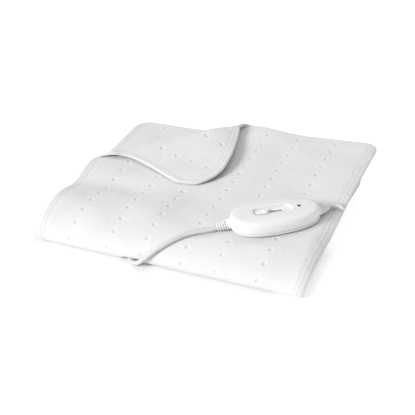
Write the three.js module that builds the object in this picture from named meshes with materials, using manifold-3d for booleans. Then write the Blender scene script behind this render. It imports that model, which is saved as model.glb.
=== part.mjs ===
// A heated mattress pad, folded into a small stack, with its in-line controller lying on top.
//
// Millimetres, +Z up. X runs along the front fold, Y from the front fold to the back, and the stack
// rests on z = 0. The cloth is one piece, 1.3 m by 0.74 m when opened: eight layers between the big
// round front fold and the back, with the back left corner of the top layer turned over.
import * as THREE from 'three';
import { mergeVertices } from 'three/addons/utils/BufferGeometryUtils.js';
import Module from 'manifold-3d';

const wasm = await Module();
wasm.setup();

// The folded cloth.
const CLOTH = {
  width: 369, // along X
  depth: 326, // along Y
  thick: 4, // two welded sheets of fleece with the heating wire between them
  edge: 2.6, // thickness right at the cut edge
  layers: 8,
  pitch: 5.6, // from one layer's middle to the next
};
// The centre of the box around the stack, which is the object's origin.
const ORIGIN = { x: 184.3, y: 163.7 };
// The big front fold: a long quarter ellipse from the top, then a small arc under to the floor.
const NOSE = { backY: 74, reach: 71, lowZ: 10.8, underRadius: 8.8, liftFade: 6 };
// The corner that is turned over: its fold line runs from the left edge to the back edge.
const TURN = {
  leftY: 156,
  backX: 184,
  leftRadius: 4.5,
  backRadius: 6,
  corner: 18,
  stretch: 1.09,
  settle: 26, // how far behind the fold the turned corner comes down to the layer below it
  rest: 0.8, // gap under the turned corner where it lies
};
// The controller, in its own axes: +X along its body, away from the mains lead.
const BODY = { length: 116, width: 60, height: 21, split: 5.2, widest: -8, wall: 2, gap: 0.3 };
const SEAT = { x: 296.5, y: 92.5, z: 45.9, slopeX: 0.012, slopeY: 0.06, turn: 35 };
const SEAT_GAP = 0.6; // between the cloth and the controller
const RECESS = { x: -3.5, y: 0, length: 51, width: 18, depth: 2.4 };
const KNOB = { x: -16.5, length: 18, width: 10.5, grip: 9, rise: 3.8, neck: 3, travel: 24 };
const LAMP = { x: 31, radius: 2.4, rise: 0.5 };
// The leads: 6.1 mm across, with a tied hank and a flat plug on the mains lead.
const LEAD = { radius: 3.05, sides: 10, step: 15 };
const RELIEF = { rootRadius: 7.4, tipRadius: 4.3, ribs: 5, sides: 14 };
const HANK = { x: 214, y: 360, length: 128, width: 55, height: 17.8 };
const PLUG = { x: 289, y: 343, length: 33, width: 26, height: 14, pin: 2, pinLength: 19, pinGap: 19 };
// The channel that the mains lead lies in, under the whole stack, bent to the right at its mouth.
const CHANNEL = { x: 128, halfTop: 5, mouth: 10, mouthLength: 26, slope: 12, spread: 30, lift: 7, kept: 0.3 };
// The lowest layer stands on its four corners and is a touch higher between them.
const ARCH = { rise: 0.4, x: 177, y: 158, halfX: 160, halfY: 140 };
// The right hem of the top layer droops over the shorter layers below, most at the front.
const DROOP = { from: 350, width: 22, depth: 9, backDepth: 2, startY: 70, length: 120 };

const clamp01 = (value) => Math.min(1, Math.max(0, value));
const smooth = (value) => {
  const v = clamp01(value);
  return v * v * (3 - 2 * v);
};
const bell = (value) => Math.exp(-value * value);
const mix = (a, b, share) => a + (b - a) * share;
const rad = THREE.MathUtils.degToRad;

const BASE = CLOTH.thick / 2; // middle of the lowest layer
const TOP = BASE + (CLOTH.layers - 1) * CLOTH.pitch; // middle of the top layer
const levelOf = (layer) => BASE + (CLOTH.layers - layer) * CLOTH.pitch; // layer 1 is the top one

// How much higher the stack stands at a place than it would if it lay flat: it rises to the back
// right, with a valley behind the front fold, a hump behind that, and a soft slanting trough.
function puff(x, y) {
  let s = 1 + 0.46 * smooth((x - 68) / 340) * smooth((y - 57) / 192);
  s += 0.12 * smooth((y - 192) / 147);
  s -= 0.12 * bell((y - 106 - 0.1 * x) / 22.6) * (1 - smooth((x - 23) / 260));
  s += 0.07 * bell((y - 149) / 27) * bell(x / 79);
  s -= 0.05 * bell((y - 170 - 0.62 * (x - 283)) / 22.6) * smooth((x - 226) / 68);
  s += 0.07 * bell((y - 42) / 32) * bell(x / 70);
  const pressed = (seatHeight(x, y) - SEAT_GAP - CLOTH.thick) / (TOP - BASE);
  return mix(s, pressed, underBody(x, y));
}

// The plane that the controller's underside lies in.
function seatHeight(x, y) {
  return SEAT.z + SEAT.slopeX * (x - SEAT.x) + SEAT.slopeY * (y - SEAT.y);
}

// 1 where the controller presses the cloth flat, falling to 0 a little way outside it.
function underBody(x, y) {
  const c = Math.cos(rad(SEAT.turn));
  const s = Math.sin(rad(SEAT.turn));
  const along = ((x - SEAT.x) * c + (y - SEAT.y) * s) / (BODY.length / 2);
  const across = ((y - SEAT.y) * c - (x - SEAT.x) * s) / (BODY.width / 2);
  return 1 - smooth((Math.hypot(along, across) - 1.05) / 0.45);
}

const heightShare = (level) => clamp01((level - BASE) / (TOP - BASE));

// How far the lead under the stack lifts the cloth at a level, if that level takes all of the lift.
function channelLift(x, y, level) {
  const middle = CHANNEL.x + CHANNEL.mouth * (1 - smooth(y / CHANNEL.mouthLength));
  const slope = CHANNEL.slope + CHANNEL.spread * heightShare(level);
  return CHANNEL.lift * smooth((CHANNEL.halfTop + slope - Math.abs(x - middle)) / slope);
}

// The share of the lift that a level takes, which is less for the higher layers.
const liftShare = (level) => mix(1, CHANNEL.kept, heightShare(level));

// How far the right hem of the top layer hangs down.
function droop(x, y) {
  const depth = mix(DROOP.depth, DROOP.backDepth, smooth((y - DROOP.startY) / DROOP.length));
  return depth * clamp01((x - DROOP.from) / DROOP.width) ** 2;
}

// How far the lowest layer is raised between its corners.
function arch(x, y, level) {
  const sides = clamp01(Math.abs(x - ARCH.x) / ARCH.halfX) ** 2 * clamp01(Math.abs(y - ARCH.y) / ARCH.halfY) ** 2;
  return ARCH.rise * (1 - sides) * clamp01(1 - (level - BASE) / CLOTH.pitch);
}

// From the flat stack, where a level is a height, to the real one.
function settle(x, y, level, share = liftShare(level)) {
  const z = BASE + (level - BASE) * puff(x, y) + channelLift(x, y, level) * share + arch(x, y, level);
  return new THREE.Vector3(x, y, z);
}

// The fold line of the turned corner.
const turnStart = new THREE.Vector2(0, TURN.leftY);
const turnEnd = new THREE.Vector2(TURN.backX, CLOTH.depth);
const turnLength = turnStart.distanceTo(turnEnd);
const turnAlong = turnEnd.clone().sub(turnStart).divideScalar(turnLength);
const turnOut = new THREE.Vector2(-turnAlong.y, turnAlong.x);

// A place of the top layer's flat sheet, put where it lies: flat before the fold line, around the
// fold, and back over the layer past it.
function topLayer(x, y) {
  const offset = new THREE.Vector2(x, y).sub(turnStart);
  const beyond = offset.dot(turnOut);
  const along = offset.dot(turnAlong);
  const share = clamp01(along / turnLength);
  const radius = mix(TURN.leftRadius, TURN.backRadius, share);
  let out = beyond;
  let rise = 0;
  if (beyond > Math.PI * radius) {
    const past = beyond - Math.PI * radius;
    const low = CLOTH.thick + TURN.rest;
    out = -past * TURN.stretch;
    rise = low + (2 * radius - low) * bell(past / TURN.settle);
  } else if (beyond > 0) {
    out = radius * Math.sin(beyond / radius);
    rise = radius * (1 - Math.cos(beyond / radius));
  }
  const raised = (4 + 5 * share) * (out < 0 ? bell(out / 30) : 1);
  const px = turnStart.x + turnAlong.x * along + turnOut.x * out;
  const py = turnStart.y + turnAlong.y * along + turnOut.y * out;
  const point = settle(px, py, TOP);
  point.z += raised + rise - droop(x, y);
  return point;
}

// A sheet of cloth: rows of points joined into triangles, then thickened to a closed body.
class Sheet {
  constructor() {
    this.points = [];
    this.thickness = [];
    this.faces = [];
  }

  row(points, thickness) {
    const first = this.points.length;
    this.points.push(...points);
    this.thickness.push(...thickness);
    return points.map((_, i) => first + i);
  }

  // Joins two rows of as many points each. The cloth's outer face is on the left of a to b.
  join(a, b) {
    for (let i = 0; i + 1 < Math.min(a.length, b.length); i += 1) {
      this.faces.push([a[i], a[i + 1], b[i + 1]], [a[i], b[i + 1], b[i]]);
    }
  }

  closed() {
    const normals = this.points.map(() => new THREE.Vector3());
    const edges = new Map();
    for (const [a, b, c] of this.faces) {
      const ab = this.points[b].clone().sub(this.points[a]);
      const ac = this.points[c].clone().sub(this.points[a]);
      const face = ab.cross(ac);
      for (const i of [a, b, c]) normals[i].add(face);
      for (const [i, j] of [[a, b], [b, c], [c, a]]) {
        if (!edges.delete(`${j} ${i}`)) edges.set(`${i} ${j}`, [i, j]);
      }
    }
    const count = this.points.length;
    const position = [];
    for (const side of [0.5, -0.5]) {
      this.points.forEach((point, i) => {
        const p = point.clone().addScaledVector(normals[i].normalize(), side * this.thickness[i]);
        position.push(p.x, p.y, p.z);
      });
    }
    const index = [];
    for (const [a, b, c] of this.faces) {
      index.push(a, b, c, a + count, c + count, b + count);
    }
    for (const [i, j] of edges.values()) {
      index.push(j, i, i + count, j, i + count, j + count);
    }
    const geometry = new THREE.BufferGeometry();
    geometry.setAttribute('position', new THREE.Float32BufferAttribute(position, 3));
    geometry.setIndex(index);
    return geometry;
  }
}

// Columns of the cloth, as places across its width, closer at the hems and over the channel. The
// first ones, up to TURN_COLUMN, end at the fold line of the turned corner.
const COLUMNS = [0, 5, 16, 50, 92, 112, 128, 138, 150, 170, 200, 240, 285, 325, 350, 358, 364, 369];
const TURN_COLUMN = 10;
const SPLIT_Y = 120; // where the part of the top layer with the turned corner begins

// The left and right edge of each layer. The lower ones are a little shorter than the top one.
const EDGES = [
  { layer: 1, left: 0, right: 369 },
  { layer: 2, left: 1, right: 351 },
  { layer: 3, left: 7, right: 350 },
  { layer: 4, left: 10, right: 352 },
  { layer: 5, left: 7, right: 350 },
  { layer: 6, left: 9, right: 351 },
  { layer: 7, left: 6, right: 348 },
  { layer: 8, left: 5, right: 347 },
];
// The lowest layer is wider where it comes out of the front fold.
const LOW_FRONT = { right: 357, y: 12, length: 110 };
// Where the layers turn: the inner folds at the front, and the folds at the back.
const FRONT_FOLDS = { 2: 62, 4: 34, 6: 22 };
const BACK_FOLDS = { 3: 316, 5: 319, 7: 315 };
const SECOND_END = { y: 318, corner: 24 };
// Where each layer has a row of points, closer in the valley behind the front fold.
const STATIONS = [40, 62, 82, 100, 120, 142, 172, 212, 256, 296];

// A row of the section: its place along Y, its level and its edges. It may also have its own
// thickness, its own share of the channel's lift, and the way that its right hem droops.
function sectionRow(y, level, left, right, more = {}) {
  return { y, level, left, right, thick: CLOTH.thick, share: liftShare(level), ...more };
}

function rightEdge(layer, y) {
  const { right } = EDGES[layer - 1];
  if (layer < CLOTH.layers) return right;
  return mix(LOW_FRONT.right, right, smooth((y - LOW_FRONT.y) / LOW_FRONT.length));
}

// The rows between two layers' folds, then the half round fold itself.
function runAndFold(rows, layer, fromY, toY, foldsUp) {
  const forward = toY < fromY;
  const edge = EDGES[layer - 1];
  const stations = STATIONS.filter((y) => y > Math.min(fromY, toY) + 8 && y < Math.max(fromY, toY) - 8);
  if (forward) stations.reverse();
  for (const y of stations) rows.push(sectionRow(y, levelOf(layer), edge.left, rightEdge(layer, y)));
  if (!foldsUp) return;
  const next = EDGES[layer - 2];
  const radius = CLOTH.pitch / 2;
  const steps = 4;
  for (let i = 0; i <= steps; i += 1) {
    const angle = (Math.PI * i) / steps;
    const share = i / steps;
    const y = toY + (forward ? 1 : -1) * radius * (1 - Math.sin(angle));
    const level = levelOf(layer) + radius * (1 - Math.cos(angle));
    rows.push(sectionRow(y, level, mix(edge.left, next.left, share), mix(edge.right, next.right, share)));
  }
}

// The cloth's section, from the top layer over the front fold and back and forth to layer 2.
function section() {
  const rows = [];
  const top = EDGES[0];
  const low = EDGES[CLOTH.layers - 1];
  for (const y of [SPLIT_Y, 104, 90]) rows.push(sectionRow(y, TOP, top.left, top.right));
  const overSteps = 10;
  for (let i = 0; i <= overSteps; i += 1) {
    const angle = ((Math.PI / 2) * i) / overSteps;
    const y = NOSE.backY - NOSE.reach * Math.sin(angle);
    const level = NOSE.lowZ + (TOP - NOSE.lowZ) * Math.cos(angle);
    const share = CHANNEL.kept * smooth((y - 20) / (NOSE.backY - 20));
    const inward = new THREE.Vector2(Math.sin(angle), -Math.cos(angle));
    rows.push(sectionRow(y, level, top.left, top.right - 5 * (i / overSteps) ** 3, { share, inward }));
  }
  const underSteps = 4;
  const frontY = NOSE.backY - NOSE.reach;
  for (let i = 1; i <= underSteps; i += 1) {
    const angle = ((Math.PI / 2) * i) / underSteps;
    const y = frontY + NOSE.underRadius * (1 - Math.cos(angle));
    const level = NOSE.lowZ - (NOSE.lowZ - BASE) * Math.sin(angle);
    const under = i / underSteps;
    const share = clamp01(1 - NOSE.liftFade * heightShare(level));
    const inward = new THREE.Vector2(Math.cos(angle) * (1 - under), 0);
    rows.push(sectionRow(y, level, low.left * under, mix(top.right - 5, LOW_FRONT.right, under), { share, inward }));
  }
  let from = 26;
  rows.push(sectionRow(from, BASE, low.left, rightEdge(CLOTH.layers, from)));
  for (let layer = CLOTH.layers; layer > 2; layer -= 1) {
    const forward = layer % 2 === 1;
    const to = forward ? FRONT_FOLDS[layer - 1] : BACK_FOLDS[layer - 1];
    runAndFold(rows, layer, from, to, true);
    from = to;
  }
  runAndFold(rows, 2, from, SECOND_END.y - SECOND_END.corner, false);
  for (const angle of [0, 30, 60, 90].map(rad)) {
    const inset = SECOND_END.corner * (1 - Math.cos(angle));
    const y = SECOND_END.y - SECOND_END.corner * (1 - Math.sin(angle));
    const thick = angle > 1.5 ? CLOTH.edge : CLOTH.thick;
    rows.push(sectionRow(y, levelOf(2), EDGES[1].left + inset, EDGES[1].right - inset, { thick }));
  }
  return rows;
}

const lastColumn = COLUMNS.length - 1;
const edgeThickness = (i, thick) => (i === 0 || i === lastColumn ? CLOTH.edge : thick);

// The back edge of the top layer right of the turned corner, with its rounded corner.
function backEdge() {
  const corner = 21;
  const places = [turnEnd.clone()];
  const straight = COLUMNS.slice(TURN_COLUMN + 1, lastColumn - 2);
  const span = CLOTH.width - corner - TURN.backX;
  straight.forEach((_, i) => {
    places.push(new THREE.Vector2(TURN.backX + (span * (i + 1)) / straight.length, CLOTH.depth));
  });
  for (const angle of [30, 60, 90].map(rad)) {
    const x = CLOTH.width - corner * (1 - Math.sin(angle));
    places.push(new THREE.Vector2(x, CLOTH.depth - corner * (1 - Math.cos(angle))));
  }
  return places;
}

// The outline of the turned corner on the flat sheet, from the fold line's left end to its right.
function cornerOutline() {
  const r = TURN.corner;
  const places = [];
  const steps = 60;
  for (let i = 0; i <= steps; i += 1) {
    places.push(new THREE.Vector2(0, mix(TURN.leftY, CLOTH.depth - r, i / steps)));
  }
  for (let i = 1; i < 24; i += 1) {
    const angle = ((Math.PI / 2) * i) / 24;
    places.push(new THREE.Vector2(r * (1 - Math.cos(angle)), CLOTH.depth - r * (1 - Math.sin(angle))));
  }
  for (let i = 0; i <= steps; i += 1) {
    places.push(new THREE.Vector2(mix(r, TURN.backX, i / steps), CLOTH.depth));
  }
  return places;
}

// How far a place of the flat sheet lies beyond the fold line, and how far along that line.
function beyondFold(place) {
  const offset = place.clone().sub(turnStart);
  return { beyond: offset.dot(turnOut), along: offset.dot(turnAlong) };
}

function cloth() {
  const sheet = new Sheet();
  const across = COLUMNS.map((x) => x / CLOTH.width);
  let previous = null;
  let split = null;
  for (const { y, level, left, right, thick, share, inward } of section()) {
    const points = across.map((place) => {
      const x = mix(left, right, place);
      if (level === TOP && y > NOSE.backY) return topLayer(x, y);
      const point = settle(x, y, level, share);
      if (inward) {
        point.y += inward.x * droop(x, y);
        point.z += inward.y * droop(x, y);
      }
      return point;
    });
    const row = sheet.row(points, points.map((_, i) => edgeThickness(i, thick)));
    if (previous) sheet.join(row, previous);
    if (!split) split = row;
    previous = row;
  }

  // The back of the top layer: rows that swing from straight across to the fold line and back edge.
  const start = COLUMNS.map((x) => new THREE.Vector2(x, SPLIT_Y));
  const foldShare = (i) => COLUMNS[i] / COLUMNS[TURN_COLUMN];
  const fold = COLUMNS.slice(0, TURN_COLUMN).map((_, i) => turnStart.clone().lerp(turnEnd, foldShare(i)));
  const end = [...fold, ...backEdge()];
  const backSteps = 10;
  let row = split;
  for (let j = 1; j <= backSteps; j += 1) {
    const places = start.map((place, i) => place.clone().lerp(end[i], j / backSteps));
    const last = j === backSteps;
    const thickness = places.map((_, i) => edgeThickness(i, last && i > TURN_COLUMN ? CLOTH.edge : CLOTH.thick));
    const next = sheet.row(places.map(({ x, y }) => topLayer(x, y)), thickness);
    sheet.join(row, next);
    row = next;
  }

  // The turned corner: rows along the fold line, each from the left edge to the back edge.
  const outline = cornerOutline().map((place) => ({ place, ...beyondFold(place) }));
  const tip = outline.reduce((a, b) => (b.beyond > a.beyond ? b : a));
  const tipIndex = outline.indexOf(tip);
  const meanRadius = (TURN.leftRadius + TURN.backRadius) / 2;
  const round = [36, 72, 108, 144, 180].map((angle) => rad(angle) * meanRadius);
  const flat = [5, 12, 22, 34, 48, 63, 78, 90].map((past) => Math.PI * meanRadius + past);
  const leftSide = outline.slice(0, tipIndex + 1);
  const rightSide = outline.slice(tipIndex).reverse();
  const crossing = (side, beyond) => {
    const i = side.findIndex((item) => item.beyond >= beyond);
    const [a, b] = [side[Math.max(i - 1, 0)], side[i]];
    const share = b.beyond === a.beyond ? 0 : (beyond - a.beyond) / (b.beyond - a.beyond);
    return a.place.clone().lerp(b.place, share);
  };
  row = row.slice(0, TURN_COLUMN + 1);
  for (const beyond of [...round, ...flat]) {
    if (beyond > tip.beyond - 6) break;
    const from = crossing(leftSide, beyond);
    const to = crossing(rightSide, beyond);
    const places = row.map((_, i) => from.clone().lerp(to, foldShare(i)));
    const thickness = places.map((_, i) => (i === 0 || i === TURN_COLUMN ? CLOTH.edge : CLOTH.thick));
    const next = sheet.row(places.map(({ x, y }) => topLayer(x, y)), thickness);
    sheet.join(row, next);
    row = next;
  }
  const [apex] = sheet.row([topLayer(tip.place.x, tip.place.y)], [CLOTH.edge]);
  for (let i = 0; i + 1 < row.length; i += 1) sheet.faces.push([row[i], row[i + 1], apex]);
  return sheet.closed();
}

// A closed body through rings of as many points each, with flat ends.
function loft(rings) {
  const n = rings[0].length;
  const position = [];
  const index = [];
  for (const ring of rings) for (const p of ring) position.push(p.x, p.y, p.z);
  for (let r = 0; r + 1 < rings.length; r += 1) {
    for (let i = 0; i < n; i += 1) {
      const a = r * n + i;
      const b = r * n + ((i + 1) % n);
      index.push(a, b, b + n, a, b + n, a + n);
    }
  }
  const last = (rings.length - 1) * n;
  for (let i = 1; i + 1 < n; i += 1) {
    index.push(0, i + 1, i);
    index.push(last, last + i, last + i + 1);
  }
  const geometry = new THREE.BufferGeometry();
  geometry.setAttribute('position', new THREE.Float32BufferAttribute(position, 3));
  geometry.setIndex(index);
  return geometry;
}

// The controller's outline seen from above: broad and blunt at the mains end, slimmer at the other.
function bodyOutline(inset, z, count = 36) {
  const ring = [];
  for (let i = 0; i < count; i += 1) {
    const angle = (2 * Math.PI * i) / count;
    const c = Math.cos(angle);
    const s = Math.sin(angle);
    const reach = BODY.length / 2 - inset + (c < 0 ? BODY.widest : -BODY.widest);
    const x = BODY.widest + reach * Math.sign(c) * Math.abs(c) ** (c < 0 ? 0.78 : 0.95);
    const y = (BODY.width / 2 - inset) * Math.sign(s) * Math.abs(s) ** 0.9;
    ring.push(new THREE.Vector3(x, y, z));
  }
  return ring;
}

// A long oval with round ends, standing on z.
function slotRing(length, width, x, z, count = 24) {
  const r = width / 2;
  const ring = [];
  for (let i = 0; i < count; i += 1) {
    const angle = (2 * Math.PI * (i + 0.5)) / count;
    const side = Math.cos(angle) > 0 ? 1 : -1;
    ring.push(new THREE.Vector3(x + side * (length / 2 - r) + r * Math.cos(angle), r * Math.sin(angle), z));
  }
  return ring;
}
const slotPrism = (length, width, x, z0, z1) => {
  return loft([slotRing(length, width, x, z0), slotRing(length, width, x, z1)]);
};

// Cutting and joining closed bodies.
function toSolid(geometry) {
  const bare = geometry.clone();
  bare.deleteAttribute('normal');
  bare.deleteAttribute('uv');
  const merged = mergeVertices(bare, 1e-4);
  return new wasm.Manifold(
    new wasm.Mesh({
      numProp: 3,
      vertProperties: new Float32Array(merged.attributes.position.array),
      triVerts: new Uint32Array(merged.index.array),
    }),
  );
}

function toGeometry(solid) {
  const mesh = solid.getMesh();
  const geometry = new THREE.BufferGeometry();
  geometry.setAttribute('position', new THREE.Float32BufferAttribute(mesh.vertProperties, mesh.numProp));
  geometry.setIndex(Array.from(mesh.triVerts));
  return geometry;
}

// The upper half: a hollow cap with a crisp shoulder, a dished oval recess and the slider's slot.
function topShell() {
  const { height, split, wall } = BODY;
  const outer = loft([
    bodyOutline(0, split + BODY.gap),
    bodyOutline(0, height - 6),
    bodyOutline(1.2, height - 2.6),
    bodyOutline(4, height - 0.9),
    bodyOutline(9, height),
  ]);
  const inner = loft([bodyOutline(wall, split - 1), bodyOutline(wall + 1, height - 7), bodyOutline(6, height - 4.8)]);
  const recess = loft([
    slotRing(RECESS.length - 5, RECESS.width - 5, RECESS.x, height - RECESS.depth),
    slotRing(RECESS.length + 3, RECESS.width + 3, RECESS.x, height + 1),
  ]);
  const slotX = KNOB.x + KNOB.travel / 2;
  const slot = slotPrism(KNOB.travel + KNOB.neck + 2, KNOB.neck + 0.8, slotX, height - 8, height);
  const lamp = loft([lampRing(LAMP.radius + 0.3, height - 8), lampRing(LAMP.radius + 0.3, height + 1)]);
  let shell = toSolid(outer).subtract(toSolid(inner)).subtract(toSolid(recess));
  shell = shell.subtract(toSolid(slot)).subtract(toSolid(lamp));
  for (const end of ['left', 'right']) shell = shell.subtract(toSolid(reliefHole(end)));
  return toGeometry(shell);
}

// The lower half: a hollow tray with a rounded lower edge.
function bottomShell() {
  const { split, wall } = BODY;
  const outer = loft([bodyOutline(5, 0), bodyOutline(2.2, 0.9), bodyOutline(0.7, 3.2), bodyOutline(0, split)]);
  const inner = loft([bodyOutline(7, wall), bodyOutline(wall + 1.6, 3.4), bodyOutline(wall, split + 1)]);
  let shell = toSolid(outer).subtract(toSolid(inner));
  for (const end of ['left', 'right']) shell = shell.subtract(toSolid(reliefHole(end)));
  return toGeometry(shell);
}

function lampRing(radius, z) {
  const ring = [];
  for (let i = 0; i < 16; i += 1) {
    const angle = (2 * Math.PI * i) / 16;
    ring.push(new THREE.Vector3(LAMP.x + radius * Math.cos(angle), radius * Math.sin(angle), z));
  }
  return ring;
}

// The signal lamp: a small round lens that stands slightly proud.
function lamp() {
  const z = BODY.height;
  return loft([
    lampRing(LAMP.radius, z - 4),
    lampRing(LAMP.radius, z),
    lampRing(LAMP.radius * 0.6, z + LAMP.rise),
  ]);
}

// The slider: a flat thumb pad in the recess with a round grip at its right end, a neck through the
// slot and a foot that holds it in.
function slider() {
  const floor = BODY.height - RECESS.depth;
  const { x, length, width, grip, rise } = KNOB;
  const pad = loft([
    slotRing(length, width, x, floor + 0.4),
    slotRing(length, width, x, floor + 1.4),
    slotRing(length - 1.6, width - 1.6, x, floor + 2),
  ]);
  const gripX = x + (length - grip) / 2;
  const bump = loft([
    slotRing(grip + 0.1, grip, gripX, floor + 1),
    slotRing(grip + 0.1, grip, gripX, floor + rise - 1),
    slotRing(grip - 2.4, grip - 2.5, gripX, floor + rise),
  ]);
  const ceiling = BODY.height - 4.8;
  const neck = slotPrism(KNOB.neck, KNOB.neck - 0.2, x, ceiling - 1.4, floor + 1);
  const foot = slotPrism(8, 6, x, ceiling - 1.6, ceiling - 0.4);
  return toGeometry(toSolid(pad).add(toSolid(bump)).add(toSolid(neck)).add(toSolid(foot)));
}

// The two ribbed strain reliefs run from inside the body's ends, sloping down to the cloth.
const RELIEFS = {
  left: { root: new THREE.Vector3(-52, 3, 9), tip: new THREE.Vector3(-76, 2.9, 4.3) },
  right: { root: new THREE.Vector3(51, -1, 9), tip: new THREE.Vector3(72.5, 10.5, 6) },
};

// Turns a body of revolution about +Y so that it runs from one point to another.
function runBetween(geometry, from, to) {
  const direction = to.clone().sub(from).normalize();
  geometry.applyQuaternion(new THREE.Quaternion().setFromUnitVectors(new THREE.Vector3(0, 1, 0), direction));
  geometry.translate(from.x, from.y, from.z);
  return geometry;
}

function relief(end) {
  const { root, tip } = RELIEFS[end];
  const length = root.distanceTo(tip);
  const profile = [new THREE.Vector2(0, 0), new THREE.Vector2(RELIEF.rootRadius - 0.6, 0)];
  const start = 9.8; // the part held between the shells
  profile.push(new THREE.Vector2(RELIEF.rootRadius - 0.6, start));
  const pitch = (length - start) / RELIEF.ribs;
  for (let i = 0; i < RELIEF.ribs; i += 1) {
    const radius = mix(RELIEF.rootRadius, RELIEF.tipRadius, (i + 0.5) / RELIEF.ribs);
    const y = start + i * pitch;
    profile.push(new THREE.Vector2(radius, y + pitch * 0.2), new THREE.Vector2(radius, y + pitch * 0.65));
    profile.push(new THREE.Vector2(radius - 1, y + pitch * 0.8), new THREE.Vector2(radius - 1, y + pitch));
  }
  profile.push(new THREE.Vector2(0, length));
  return runBetween(new THREE.LatheGeometry(profile, RELIEF.sides), root, tip);
}

// The round hole in the shells that the relief sits in.
function reliefHole(end) {
  const { root, tip } = RELIEFS[end];
  const back = root.clone().lerp(tip, -0.04);
  const radius = RELIEF.rootRadius - 0.2;
  const length = 14;
  const profile = [
    new THREE.Vector2(0, 0),
    new THREE.Vector2(radius, 0),
    new THREE.Vector2(radius, length),
    new THREE.Vector2(0, length),
  ];
  return runBetween(new THREE.LatheGeometry(profile, 24), back, tip);
}

// A lead along hand-placed points, as a closed tube.
function lead(points) {
  const curve = new THREE.CatmullRomCurve3(points.map((p) => new THREE.Vector3(...p)), false, 'centripetal');
  const shape = new THREE.Shape();
  for (let i = 0; i < LEAD.sides; i += 1) {
    const angle = (2 * Math.PI * i) / LEAD.sides;
    const x = LEAD.radius * Math.cos(angle);
    const y = LEAD.radius * Math.sin(angle);
    if (i === 0) shape.moveTo(x, y);
    else shape.lineTo(x, y);
  }
  const steps = Math.max(6, Math.round(curve.getLength() / LEAD.step));
  return new THREE.ExtrudeGeometry(shape, { steps, extrudePath: curve });
}

// The leads' routes, in the stack's own millimetres.
const MAINS_ROUTE = [
  [231.9, 50.8, 46.8],
  [224.6, 45.8, 45.1],
  [211.8, 38.8, 43.4],
  [199.5, 29.8, 40.8],
  [188, 18.8, 36.6],
  [176.5, 8.2, 30.4],
  [165, -0.6, 21.8],
  [156.5, -3.6, 13.4],
  [149.2, -3.8, 7],
  [141.6, -1, 3.7],
  [134.9, 4.6, 3.2],
  [130.2, 12.2, 3.2],
  [128.2, 21.4, 3.2],
  [128, 60, 3.2],
  [128, 110, 3.2],
  [128, 160, 3.2],
  [128, 210, 3.2],
  [128, 260, 3.2],
  [128, 296, 3.2],
  [128, 308, 3.2],
  [129.6, 318.6, 3.2],
  [134.6, 327.4, 3.2],
  [142, 333.2, 3.2],
  [151, 335.5, 3.2],
  [159.4, 335.6, 3.2],
];
const PLUG_ROUTE = [
  [272, 338.6, 13.4],
  [276.3, 339.4, 12.2],
  [281.4, 341.4, 9.4],
  [287.3, 343, 7.4],
];
const PAD_ROUTE = [
  [350.35, 143.3, 55.5],
  [352.7, 147.1, 56.1],
  [356.4, 149.9, 57.2],
  [361, 150.4, 57.4],
  [365.4, 148.2, 56.8],
  [368.6, 144.2, 55.4],
  [370.4, 139.4, 53.6],
];

function hank() {
  const ring = (inset, z) => {
    return slotRing(HANK.length - 2 * inset, HANK.width - 2 * inset, 0, z, 28);
  };
  const { height } = HANK;
  const body = loft([ring(2.4, 0.05), ring(0, 2.6), ring(0, height - 2.6), ring(2.4, height)]);
  return body.translate(HANK.x, HANK.y, 0);
}

// A flat two-pin plug, its pins pointing away along +X.
function plugBody() {
  const { length, width, height } = PLUG;
  const ring = (x, halfWidth, halfHeight) => {
    const points = [];
    for (let i = 0; i < 20; i += 1) {
      const angle = (2 * Math.PI * i) / 20;
      const c = Math.cos(angle);
      const s = Math.sin(angle);
      const y = halfWidth * Math.sign(c) * Math.abs(c) ** 0.6;
      points.push(new THREE.Vector3(x, y, height / 2 + halfHeight * Math.sign(s) * Math.abs(s) ** 0.6));
    }
    return points;
  };
  const body = loft([
    ring(0, 4.6, 4.6),
    ring(length * 0.38, width / 2 - 5, height / 2 - 1.4),
    ring(length * 0.7, width / 2, height / 2 - 0.1),
    ring(length, width / 2, height / 2 - 0.1),
  ]);
  return body.translate(PLUG.x, PLUG.y, 0);
}

function plugPin(side) {
  const profile = [
    new THREE.Vector2(0, 0),
    new THREE.Vector2(PLUG.pin, 0),
    new THREE.Vector2(PLUG.pin, PLUG.pinLength - 1.5),
    new THREE.Vector2(0, PLUG.pinLength),
  ];
  const face = PLUG.x + PLUG.length + 0.3;
  const from = new THREE.Vector3(face, PLUG.y + (side * PLUG.pinGap) / 2, PLUG.height / 2);
  const to = from.clone().add(new THREE.Vector3(1, 0, 0));
  return runBetween(new THREE.LatheGeometry(profile, 12), from, to);
}

function material(color, roughness, metalness = 0) {
  return new THREE.MeshStandardMaterial({ color, roughness, metalness });
}
const FLEECE = material(0xf2f2f0, 0.95);
const PLASTIC = material(0xe9e9e8, 0.35);
const RUBBER = material(0xe4e4e3, 0.55);
const LENS = material(0x18181a, 0.2);
const METAL = material(0xc9c9cc, 0.25, 1);

function piece(name, geometry, finish) {
  geometry.computeVertexNormals();
  const mesh = new THREE.Mesh(geometry, finish);
  mesh.name = name;
  return mesh;
}

const pad = new THREE.Group();
pad.add(piece('pad_cloth', cloth(), FLEECE));
pad.add(piece('mains_lead', lead(MAINS_ROUTE), RUBBER));
pad.add(piece('mains_lead_hank', hank(), RUBBER));
pad.add(piece('mains_lead_end', lead(PLUG_ROUTE), RUBBER));
pad.add(piece('plug_body', plugBody(), RUBBER));
pad.add(piece('plug_pin_front', plugPin(-1), METAL));
pad.add(piece('plug_pin_back', plugPin(1), METAL));
pad.add(piece('pad_lead', lead(PAD_ROUTE), RUBBER));

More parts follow.
